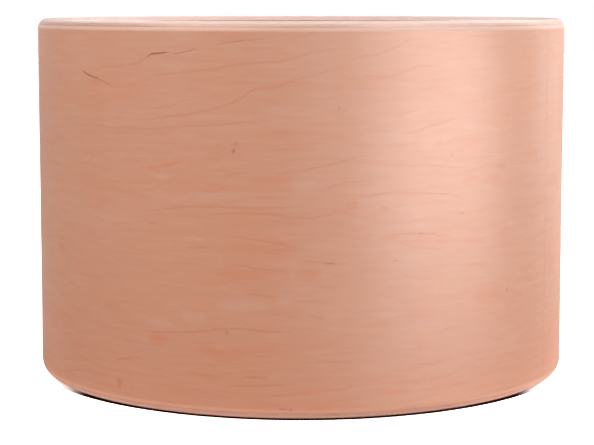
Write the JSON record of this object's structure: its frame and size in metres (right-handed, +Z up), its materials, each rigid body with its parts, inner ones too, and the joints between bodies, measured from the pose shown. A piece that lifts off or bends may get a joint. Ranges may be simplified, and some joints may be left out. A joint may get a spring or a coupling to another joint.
{
  "type": "drum shell",
  "caption": "Bare tom shell of laminated maple veneers, open at both ends, with a roundover bearing edge and an inner bevel at each end.",
  "frame": {"origin": "centre of the shell's lower end, in the plane of the lower bearing edge's crest", "axes": "+Z up along the shell's axis, -Y towards the front, +X to the right seen from the front"},
  "size_m": [0.3015, 0.3014, 0.2],
  "materials": {
    "maple_face": "bare, sanded",
    "maple_upright_grain": "bare, cut edge",
    "maple_round_grain": "bare, cut edge"
  },
  "bodies": {
    "root": {"ply_1_outer_face": "maple_face", "ply_2_upright_core": "maple_upright_grain", "ply_3_round_core": "maple_round_grain", "ply_4_upright_core": "maple_upright_grain", "ply_5_upright_core": "maple_upright_grain", "ply_6_round_core": "maple_round_grain", "ply_7_upright_core": "maple_upright_grain", "ply_8_inner_face": "maple_face"}
  },
  "joints": []
}
